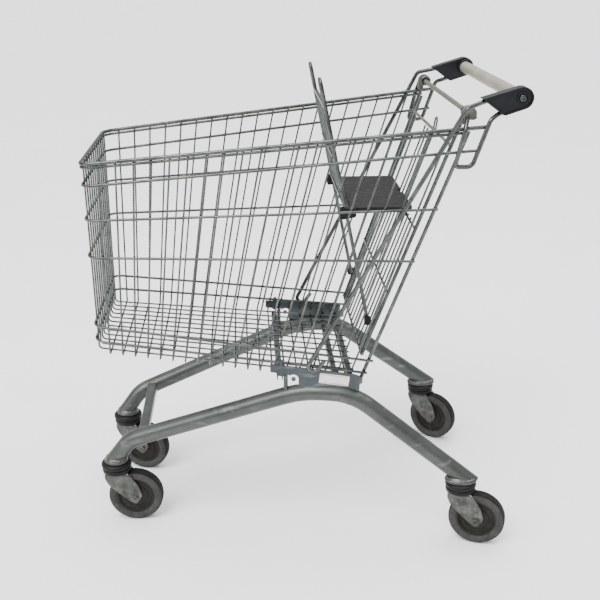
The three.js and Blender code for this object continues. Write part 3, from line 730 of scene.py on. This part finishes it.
def basket():
    walls = [f"basket_side_{label}" for label, _ in SIDES]
    for number, ring in enumerate(RINGS, 1):
        shape = wire(Shape(), ring_route(ring), ring[3], 16)
        piece(f"basket_ring_{number}", shape, ZINC, "root", walls if number == 1 else ())
    cross = Shape()
    for bay in range(BAYS):
        wire(cross, cross_wire(bay), WIRE, 12)
    piece("basket_cross_wires", cross, ZINC, "root", ["basket_floor"])
    lengthwise = Shape()
    for index in range(FRONT_WIRES):
        wire(lengthwise, lengthwise_wire(index), WIRE, 12)
    piece("basket_lengthwise_wires", lengthwise, ZINC, "root", ["basket_front"])
    for label, side in SIDES:
        rear_edge(label, side)


def rear_edge(label, side):
    """The thick wire that ends a basket side, with the capped foot it stands on."""
    ends = []
    for z in (EDGE_FOOT, EDGE_TOP):
        x = EDGE_X + EDGE_LEAN * (z - EDGE_Z)
        ends.append(Vector((x, side * (wall_half(x, z) - (8.0 + EDGE_SIZE) / 2 + SINK), z)))
    piece(f"rear_edge_{label}", wire(Shape(), ends, EDGE_SIZE, 20), ZINC, "root", [f"rear_edge_wire_{label}"])
    foot = turned([(0, -9), (4.6, -8.6), (6, -7.4), (6.2, 2.4), (5.2, 3.6), (3.4, 4), (0, 4)], 28)
    foot.place(Matrix.Translation(ends[0]))
    piece(f"rear_edge_foot_{label}", foot, WELD, "root")


# ---------------------------------------------------------------- handle

def upper_loop(side):
    def diagonal(z):
        return (314 - 0.5295 * (973 - z), side * (204.2 + 0.1 * (z - 430)), z)
    return rounded([
        (375, side * 240, 989.3), (348, side * 243, 982), (314, side * 258.5, 973), diagonal(415),
        (38, side * 202.7, 404), (56.3, side * 202.7, 431.5),
    ], [30, 14, 11, 11])


def lower_loop(side):
    return rounded([
        (400, side * 240, 969), (376, side * 245, 958.4), (359.6, side * 258.5, 951), (330, side * 258.5, 861),
        (296.5, side * 258.5, 861), (312.5, side * 258, 930), (319, side * 243, 958),
    ], [14, 14, 15, 6.5, 12])


def cap_outline():
    return [(343, 988), (348, 989.5)] + arc(GRIP_X, GRIP_Z, CAP_RADIUS, 106, -73, 26) + [(390, 957), (385, 958)]


def handle_cap(side):
    """A moulded end: a flat body with a raised border round its outer face, and a collar for the grip."""
    outline = cap_outline()
    inner, outer = side * CAP_INNER, side * CAP_OUTER
    body = prism(outline, inner, outer - side * 3)
    body.join(rim_band(outline, 3.6, outer - side * 3.2, outer))
    ring = turned([(8.4, -0.5), (8.4, 2.2), (9.0, 2.9), (11.2, 2.9), (11.8, 2.2), (11.8, -0.5)], 40)
    body.join(ring.place(facing(GRIP_X, outer - side * 3, GRIP_Z, side)))
    collar = turned([(13.2, 0), (17, 0), (17.6, 0.8), (17.6, 7.4), (16.6, 8.6), (13.8, 9), (13.2, 8.6)], 40)
    return body.join(collar.place(facing(GRIP_X, inner + side * 1, GRIP_Z, -side)))


def handle():
    grip = turned([
        (0, -GRIP_HALF), (12.2, -GRIP_HALF), (GRIP_RADIUS, -GRIP_HALF + 1), (GRIP_RADIUS, -GRIP_HALF / 3),
        (GRIP_RADIUS + 0.1, 0), (GRIP_RADIUS, GRIP_HALF / 3), (GRIP_RADIUS, GRIP_HALF - 1), (12.2, GRIP_HALF),
        (0, GRIP_HALF),
    ], 56, "y").place(Matrix.Translation((GRIP_X, 0, GRIP_Z)))
    piece("grip", grip, GRIP_FINISH, "root", ["handle_grip"])
    for label, side in SIDES:
        for name, route in (("upper", upper_loop(side)), ("lower", lower_loop(side))):
            piece(f"loop_{name}_{label}", wire(Shape(), route, LOOP_WIRE, 24), ZINC, "root",
                  [f"handle_{name}_wire_{label}"])
        piece(f"cap_{label}", handle_cap(side), CAP, "root", [f"handle_cap_{label}"], bevel=0.9)
        screw = bolt_head(7.2, 4.2, 2.8).place(facing(GRIP_X, side * (CAP_OUTER - 2.6), GRIP_Z, side))
        piece(f"cap_screw_{label}", screw, ZINC, "root", [f"handle_screw_{label}"])
        hinge_hook(label, side)


def hinge_hook(label, side):
    """A moulded hook over the flap's rod, with a tab that hangs down at the front."""
    x, z, r = FLAP_PIVOT_X, FLAP_PIVOT_Z, HOOK_RADIUS
    outline = [(x - 14, 938), (x - 6.5, 938.5), (x - 5, 947), (x + 9, 946.5), (x + 14.4, 950)]
    outline += arc(x, z, r, -16, 192, 20)
    hook = prism(outline, side * HOOK_INNER, side * HOOK_OUTER)
    boss = turned([(0, 0), (9.4, 0), (9.4, 1.1), (8.6, 1.7), (0, 1.7)], 36)
    hook.join(boss.place(facing(x, side * (HOOK_OUTER - 0.3), z, side)))
    piece(f"hook_{label}", hook, HOOK_FINISH, "root", [f"hinge_hook_{label}"], bevel=1.4)


# ---------------------------------------------------------------- flap

def flap_x(z):
    return FLAP_X + FLAP_LEAN * (z - FLAP_Z)


def flap_half(z):
    return 173 + 0.072 * (z - FLAP_Z)


def flap():
    rod = wire(Shape(), [(FLAP_PIVOT_X, -238.6, FLAP_PIVOT_Z), (FLAP_PIVOT_X, 238.6, FLAP_PIVOT_Z)], 10, 28)
    piece("flap_rod", rod, HOOK_FINISH, "flap", ["flap_pivot_rod"])
    grid = Shape()
    for _, side in SIDES:
        loop = arc(FLAP_PIVOT_X, FLAP_PIVOT_Z, FLAP_PIVOT_RADIUS + 3.9, -140, -395, 20)
        route = [(flap_x(430), side * flap_half(430), 430), (flap_x(940), side * flap_half(940), 940)]
        route += [(x, side * flap_half(949), z) for x, z in loop]
        wire(grid, route, 8, 18)
    for height in (436, 580, 722):
        half, at = flap_half(height), flap_x(height) - (WIRE + 5) / 2 + SINK
        wire(grid, [(at, -half, height), (at, half, height)], 5, 14)
    for i in range(FRONT_WIRES):
        across = FLAP_WIRE_PITCH * (i - (FRONT_WIRES - 1) / 2)
        full = abs(across) < 50 or abs(across) > 150
        top = 886 if full else 725
        wire(grid, [(flap_x(432), across, 432), (flap_x(top), across, top)], WIRE, 12)
    strap = rounded([(300, -47, 890), (304, -47, 917), (304, -27, 917), (300, -27, 890)], 9.0)
    wire(grid, strap, 4, 14)
    piece("flap_wires", grid, ZINC, "flap", ["flap_grid"])
    bar_x, bar_half = flap_x(FLAP_BAR_Z), flap_half(FLAP_BAR_Z)
    bar = wire(Shape(), [(bar_x, -bar_half, FLAP_BAR_Z), (bar_x, bar_half, FLAP_BAR_Z)], 6.5, 18)
    piece("flap_bar", bar, HOOK_FINISH, "flap")
    for label, side in SIDES:
        pivot_clip(label, side)


def pivot_clip(label, side):
    """The snap clip on the flap's edge that holds a backrest pin."""
    x, z = SEAT_PIVOT_X, SEAT_PIVOT_Z
    outline = soft_corners([(x - 8, z - 8), (x + 6.2, z - 8), (x + 6.2, z + 10), (x - 8, z + 10)], 4)
    clip = prism(outline, side * 155, side * 165.5)
    boss = turned([(0, 0), (6.4, 0), (6.4, 1.6), (5.6, 2.3), (0, 2.3)], 28)
    clip.join(boss.place(facing(x, side * 155.4, z, -side)))
    piece(f"pin_clip_{label}", clip, BLACK, "flap", [f"backrest_pivot_clip_{label}"], bevel=0.9)


# ---------------------------------------------------------------- child seat

def back_x(z):
    return SEAT_PIVOT_X + BACK_LEAN * (z - SEAT_PIVOT_Z)


def back_half(z):
    return BACK_TOP_HALF + 0.0178 * (BACK_TOP - z)


def backrest():
    back = Shape()
    top = back_x(BACK_TOP)
    for _, side in SIDES:
        wire(back, rounded([
            (SEAT_PIVOT_X, side * 165, SEAT_PIVOT_Z), (SEAT_PIVOT_X, side * SEAT_PIVOT_HALF, SEAT_PIVOT_Z),
            (top, side * BACK_TOP_HALF, BACK_TOP), (top, side * (BACK_TOP_HALF - 24), BACK_TOP),
            (back_x(954), side * (BACK_TOP_HALF - 24), 954),
        ], [6, 11, 11]), BACK_SIZE, 20)
    for height in BACK_BARS:
        thick = height == BACK_BARS[0]
        at = back_x(height) - (0 if thick else 2.6)
        half = back_half(height)
        wire(back, [(at, -half, height), (at, half, height)], 8 if thick else 5, 18)
    for i in range(10):
        across = 26 * (i - 4.5)
        wire(back, [(back_x(752), across, 752), (back_x(953), across, 953)], WIRE, 12)
    piece("backrest_wires", back, ZINC, "backrest", ["backrest_frame"])
    for label, side in SIDES:
        leg = back_x(SEAT_HINGE_Z)
        outline = [(leg - 13, 728), (SEAT_HINGE_X + 7, 733), (SEAT_HINGE_X + 7, 752), (leg - 14, 753)]
        clip = prism(soft_corners(outline, 5), side * 138.5, side * 153.5)
        boss = turned([(0, 0), (6.2, 0), (6.2, 1.2), (5.4, 1.9), (0, 1.9)], 28)
        clip.join(boss.place(facing(SEAT_HINGE_X, side * 153.2, SEAT_HINGE_Z, side)))
        piece(f"seat_clip_{label}", clip, BLACK, "backrest", [f"seat_hinge_clip_{label}"], bevel=1.1)
    rod = wire(Shape(), [(SEAT_HINGE_X, -138.2, SEAT_HINGE_Z), (SEAT_HINGE_X, 138.2, SEAT_HINGE_Z)], 6, 18)
    piece("seat_rod", rod, ZINC, "backrest", ["seat_hinge_rod"])


def seat():
    x, z = SEAT_HINGE_X, SEAT_HINGE_Z
    rear, half, notch = x + SEAT_LENGTH, SEAT_HALF, SEAT_NOTCH_HALF
    outline = [
        (x + 2, -half), (rear - 6, -half), (rear, -half + 6), (rear, -notch - 3), (rear - 3, -notch),
        (rear - SEAT_NOTCH + 3, -notch), (rear - SEAT_NOTCH, -notch + 3), (rear - SEAT_NOTCH, notch - 3),
        (rear - SEAT_NOTCH + 3, notch), (rear - 3, notch), (rear, notch + 3), (rear, half - 6),
        (rear - 6, half), (x + 2, half),
    ]
    slab = prism(soft_corners(outline, 4), z - 4.5, z + 6, "z")
    piece("seat_slab", slab, SEAT_FINISH, "seat", ["seat_plate"], bevel=2.0)
    details = turned([
        (4, -half), (6.2, -half), (7, -half + 1), (7, half - 1), (6.2, half), (4, half),
    ], 36, "y").place(Matrix.Translation((x, 0, z)))
    for y in (-104, -52, 0, 52, 104):
        details.join(prism([(x + 8, -6), (rear - 30, -6), (rear - 30, -3), (x + 8, -3)], y - 1.4, y + 1.4).place(
            Matrix.Translation((0, 0, z))))
    for side in (-1, 1):
        details.join(prism(soft_corners([(rear - 24, -16), (rear - 9, -16), (rear - 9, -3), (rear - 24, -3)], 3),
                           side * 122 - 7, side * 122 + 7).place(Matrix.Translation((0, 0, z))))
    piece("seat_details", details, SEAT_FINISH, "seat", bevel=0.7)


# ---------------------------------------------------------------- castors

# A cheek's front and rear edges: height, and reach along the trail direction
CHEEK_FRONT = [(47.5, 40), (50, 36), (66, 14), (95, -17), (114, -26), (126.7, -25)]
CHEEK_REAR = [(47.5, 42), (51, 47), (68, 58), (97, 49), (126.7, 28)]


def along_edge(edge, z):
    for (low, a), (high, b) in zip(edge, edge[1:]):
        if z <= high:
            return mix(a, b, max(0.0, (z - low) / (high - low)))
    return edge[-1][1]


def fork_limits(z):
    """How far the cheek reaches along the trail direction at a height."""
    levels = (z - 4, z - 2, z, z + 2, z + 4)
    return tuple(sum(along_edge(edge, level) for level in levels) / 5 for edge in (CHEEK_FRONT, CHEEK_REAR))


def pressing(s, z):
    """The rib pressed down a cheek, and the dish round its axle hole."""
    top, foot = Vector((0.0, 117.0)), Vector((34.0, 80.0))
    along = foot - top
    share = max(0.0, min(1.0, (Vector((s, z)) - top).dot(along) / along.length_squared))
    off = (Vector((s, z)) - top - along * share).length
    reach = math.hypot(s - TRAIL, z - AXLE_Z)
    dish = max(0.0, min(1.0, (10.5 - reach) / 2))
    return 0.9 * math.exp(-(off / 3.4) ** 2) - 1.1 * dish


def fork():
    """One pressing: a round crown with two cheeks that narrow to the axle."""
    thick, outer, top, bend, disc, crown_rear = 3.0, 20.4, 126.7, 6.5, 32.0, 21.0
    columns = 18
    shells = []
    for inward in (0.0, thick):
        path = [(-outer + inward, mix(48.2, top - bend, i / 26), 1.0) for i in range(27)]
        for i in range(1, 6):
            angle = math.pi / 2 * i / 6
            radius = bend - inward
            path.append((-outer + bend - radius * math.cos(angle), top - bend + radius * math.sin(angle), 0.0))
        path += [(mix(-outer + bend, 0, i / 4), top - inward, 0.0) for i in range(5)]
        path += [(-t, z, flat) for t, z, flat in reversed(path[:-1])]
        rows = []
        for t, z, flat in path:
            low, high = fork_limits(z + (inward if not flat else 0))
            if not flat:
                share = (outer - abs(t)) / outer
                circle = math.sqrt(max(0.0, disc * disc - t * t))
                share = min(1, share * 3)
                low, high = mix(low, -circle, share), mix(high, min(circle, crown_rear), share)
            row = []
            for c in range(columns + 1):
                s = mix(low, high, c / columns)
                side = -1 if t < 0 else 1
                row.append(Vector((s, t + flat * side * pressing(s, z), z)))
            rows.append(row)
        shells.append(rows)
    return stitched(shells)


def stitched(shells):
    """A closed sheet from its outer and inner grids of points."""
    shape = Shape()
    rows, columns = len(shells[0]), len(shells[0][0])
    for grid in shells:
        for row in grid:
            shape.verts += row

    def at(layer, r, c):
        return layer * rows * columns + r * columns + c
    for layer in (0, 1):
        for r in range(rows - 1):
            for c in range(columns - 1):
                face = [at(layer, r, c), at(layer, r, c + 1), at(layer, r + 1, c + 1), at(layer, r + 1, c)]
                shape.faces.append(face if layer else face[::-1])
    border = [(r, 0) for r in range(rows)] + [(rows - 1, c) for c in range(1, columns)]
    border += [(r, columns - 1) for r in range(rows - 2, -1, -1)] + [(0, c) for c in range(columns - 2, 0, -1)]
    for (r, c), (r2, c2) in zip(border, border[1:] + border[:1]):
        shape.faces.append([at(0, r, c), at(0, r2, c2), at(1, r2, c2), at(1, r, c)])
    return shape


def castor(name, x, y, yaw):
    swivel = Matrix.Translation((x, y, 0)) @ Matrix.Rotation(math.radians(yaw), 4, "Z")
    parked = swivel @ Matrix.Translation((TRAIL, 0, AXLE_Z)) @ Matrix.Rotation(-math.pi / 2, 4, "X")
    here = Matrix.Translation((x, y, 0))

    stretch = Matrix.Diagonal((REAR_STRETCH if x > 0 else 1.0, 1.0, 1.0, 1.0))
    lip = turned([
        (0, 151.2), (24.5, 151.2), (26.2, 152), (26.6, 154.5), (25.2, 157.5), (22.5, 160.5), (20, 163), (0, 163),
    ], 48).place(here @ stretch)
    piece(f"tube_end_{name}", lip, SILVER, "root", [f"castor_{name}_socket"])
    weld = bead(Shape(), (0, 0, 159.6), 22.6, 1.8, yaw).place(here @ stretch)
    piece(f"tube_weld_{name}", weld, WELD, "root")
    ring = turned([
        (12.6, 127), (31, 127), (32.4, 127.8), (33, 129.5), (33, 136.5), (32.2, 137.6), (30.8, 138.2),
        (30.8, 139.4), (33.6, 140), (34.4, 141.2), (34.4, 146.5), (33.2, 148.6), (30, 150.6), (27, 151.2), (12.6, 151.2),
    ], 56).place(here)
    piece(f"dust_ring_{name}", ring, BLACK, "root", [f"castor_{name}_dust_ring"])

    body = f"castor_{name}_swivel"
    piece(f"fork_{name}", fork().place(swivel), CASTOR_ZINC, body, [f"castor_{name}_fork"], bevel=0.5)
    bolts = Shape()
    for side in (-1, 1):
        washer = turned([(0, 0), (8.2, 0), (8.6, 0.4), (8.6, 1.2), (8.2, 1.6), (0, 1.6)], 36)
        bolts.join(washer.place(facing(TRAIL, side * 19.0, AXLE_Z, side)))
        bolts.join(bolt_head(6.2, 3.6, 3.0).place(facing(TRAIL, side * 20.3, AXLE_Z, side)))
    wire(bolts, [(TRAIL, -20, AXLE_Z), (TRAIL, 20, AXLE_Z)], 7.6, 20)
    piece(f"axle_{name}", bolts.place(swivel), CASTOR_ZINC, body, [f"castor_{name}_axle_bolt"])

    body = f"castor_{name}_wheel"
    hub = turned(mirrored([
        (4.7, -16.4), (11.4, -16.4), (12.4, -15.6), (12.8, -12.6), (14, -11.6), (24.6, -10.6), (26, -10.9),
        (26.6, -12), (28, -12), (28.8, -9.8), (37.2, -9.2), (38.4, -10.4), (39, -12.8), (41.4, -13.4), (43.2, -12.6),
    ]), 64).place(parked)
    piece(f"hub_{name}", hub, HUB_FINISH, body, [f"castor_{name}_hub"])
    sidewall = turned(mirrored([
        (43.0, -12.2), (43.8, -13.4), (45, -13.5), (46, -15.2), (47.4, -15.8), (54, -16), (56.2, -15.9), (57, -15.2),
        (58.2, -15.1), (59.6, -13.8), (60.8, -11.6),
    ]), 72).place(parked)
    piece(f"sidewall_{name}", sidewall, SIDEWALL, body, [f"castor_{name}_tyre"], crease=60)
    tread = turned(mirrored([(58.8, -13.2), (60.3, -12.6), (61.6, -11.0), (62.3, -8.6), (62.5, -5)]), 96).place(parked)
    piece(f"tread_{name}", tread, TREAD, body, crease=60)


# ---------------------------------------------------------------- light, floor and camera

def studio():
    mesh = bpy.data.meshes.new("studio_floor")
    reach = 40.0
    corners = [(-reach, -reach, 0), (reach, -reach, 0), (reach, reach, 0), (-reach, reach, 0)]
    mesh.from_pydata(corners, [], [(0, 1, 2, 3)])
    f = Finish("studio_floor")
    colour = f.blend(f.spread(f.noise(3, 3), 0.3, 0.7), tone(250, 250, 250), tone(247, 247, 247))
    mesh.materials.append(f.done(colour, 0.8))
    floor = bpy.data.objects.new("studio_floor", mesh)
    bpy.context.scene.collection.objects.link(floor)

    world = bpy.data.worlds.new("studio")
    bpy.context.scene.world = world
    world.use_nodes = True
    tree = world.node_tree
    background = tree.nodes["Background"]
    coords = tree.nodes.new("ShaderNodeTexCoord")
    split = tree.nodes.new("ShaderNodeSeparateXYZ")
    ramp = tree.nodes.new("ShaderNodeMapRange")
    ramp.inputs["From Min"].default_value = -0.1
    ramp.inputs["From Max"].default_value = 0.95
    ramp.inputs["To Min"].default_value = 0.05
    ramp.inputs["To Max"].default_value = 2.2
    tree.links.new(coords.outputs["Generated"], split.inputs[0])
    tree.links.new(split.outputs["Z"], ramp.inputs["Value"])
    tree.links.new(ramp.outputs["Result"], background.inputs["Strength"])
    background.inputs["Color"].default_value = (0.97, 0.985, 1.0, 1.0)

    def light(name, kind, energy, at, size, towards=(0, 0, 0.5)):
        data = bpy.data.lights.new(name, kind)
        data.energy = energy
        if kind == "AREA":
            data.size = size
        else:
            data.angle = size
        lamp = bpy.data.objects.new(name, data)
        lamp.location = at
        lamp.rotation_euler = (Vector(towards) - Vector(at)).to_track_quat("-Z", "Y").to_euler()
        bpy.context.scene.collection.objects.link(lamp)
    light("key", "SUN", 3.2, (-1.2, -1.6, 3.4), math.radians(35))
    light("side_panel", "AREA", 22, (-2.4, -1.2, 1.5), 1.3)
    light("top_panel", "AREA", 34, (0.7, 0.6, 3.0), 1.8)


def camera():
    place = Vector((-107.0, -1944.5, 1255.2)) * MM + SHIFT
    yaw, pitch, roll = math.radians(-3.64), math.radians(21.38), math.radians(0.19)
    forward = Vector((-math.sin(yaw) * math.cos(pitch), math.cos(yaw) * math.cos(pitch), -math.sin(pitch)))
    right = Vector((math.cos(yaw), math.sin(yaw), 0))
    up = right.cross(forward)
    right, up = right * math.cos(roll) + up * math.sin(roll), up * math.cos(roll) - right * math.sin(roll)
    data = bpy.data.cameras.new("camera")
    data.lens = 54.3
    data.sensor_width = 36.0
    obj = bpy.data.objects.new("camera", data)
    turn = Matrix((right, up, -forward)).transposed()
    obj.matrix_world = Matrix.Translation(place) @ turn.to_4x4()
    bpy.context.scene.collection.objects.link(obj)
    bpy.context.scene.camera = obj


chassis()
saddle()
basket()
handle()
flap()
backrest()
seat()
for castor_name, (castor_x, castor_y, castor_yaw) in CASTORS.items():
    castor(castor_name, castor_x, castor_y, castor_yaw)
studio()
camera()
